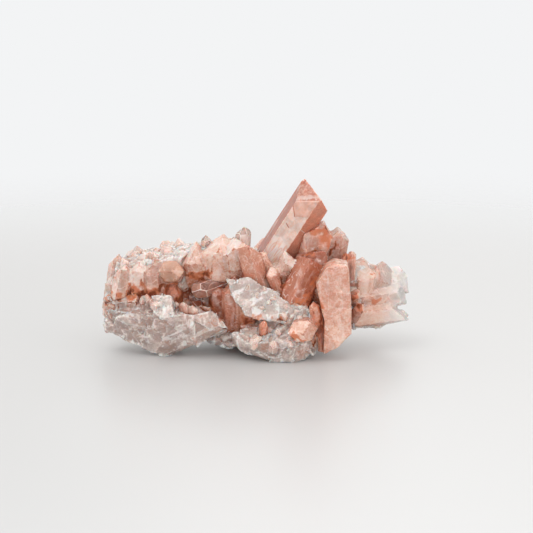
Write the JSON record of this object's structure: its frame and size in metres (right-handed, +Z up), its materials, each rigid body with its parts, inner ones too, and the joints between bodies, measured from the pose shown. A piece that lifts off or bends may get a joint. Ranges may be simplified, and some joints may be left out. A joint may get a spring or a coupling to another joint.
{
  "type": "lithium quartz cluster",
  "caption": "Natural cluster of pink lithium quartz: a tall leaning point and stubby crystals grown on broken milky quartz, resting flat on its worn underside.",
  "frame": {"origin": "centre of the bounding box's base, on the surface that the cluster rests on", "axes": "+X to the right along the longest side, with the tall point leaning to +X; +Y away from the front that the picture shows; +Z up"},
  "size_m": [0.0809, 0.0369, 0.0456],
  "materials": {
    "pink_quartz": "translucent milky to salmon quartz, glossy crystal faces and sugary broken rock with rust in the seams"
  },
  "bodies": {
    "root": {"quartz_cluster": "pink_quartz"}
  },
  "joints": []
}
